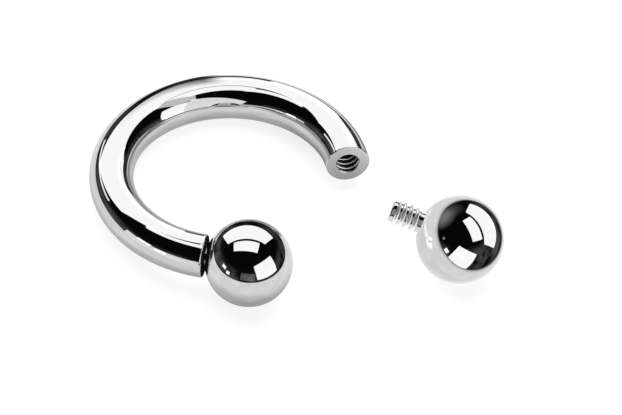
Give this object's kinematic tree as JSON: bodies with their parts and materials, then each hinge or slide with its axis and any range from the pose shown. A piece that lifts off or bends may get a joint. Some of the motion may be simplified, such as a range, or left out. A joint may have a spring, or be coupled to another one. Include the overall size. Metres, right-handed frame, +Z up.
{
  "type": "horseshoe barbell",
  "caption": "Curved bar with threaded end holes that take screw-in balls on studs; one ball is screwed on and the other lies beside it, taken off.",
  "frame": {"origin": "middle of the whole part's box, on the surface that it rests on", "axes": "+X to the right across the horseshoe towards the loose ball, +Y away from the viewer, +Z up from the surface"},
  "size_m": [0.0474, 0.035, 0.01],
  "materials": {
    "polished_bar": "polished",
    "polished_ball": "polished",
    "machined_thread": "gloss"
  },
  "bodies": {
    "bar": {"curved_bar": "polished_bar", "loose_ball": "polished_ball", "loose_stud": "machined_thread"},
    "ball": {"front_ball": "polished_ball"},
    "stud": {"front_stud": "machined_thread"}
  },
  "joints": [
    {"name": "front_ball_out", "type": "slide", "parent": "bar", "child": "ball", "axis": [0.9862, -0.154, 0.0613], "range_m": [0, 0.0045]},
    {"name": "front_stud_turn", "type": "hinge", "parent": "ball", "child": "stud", "pos_m": [-0.00488, -0.01252, 0.005], "axis": [0.9862, -0.154, 0.0613], "range_deg": [0, 2160]}
  ],
  "couplings": [
    {"joint": "front_stud_turn", "follows": "front_ball_out", "rad_per_m": 8377.6}
  ]
}
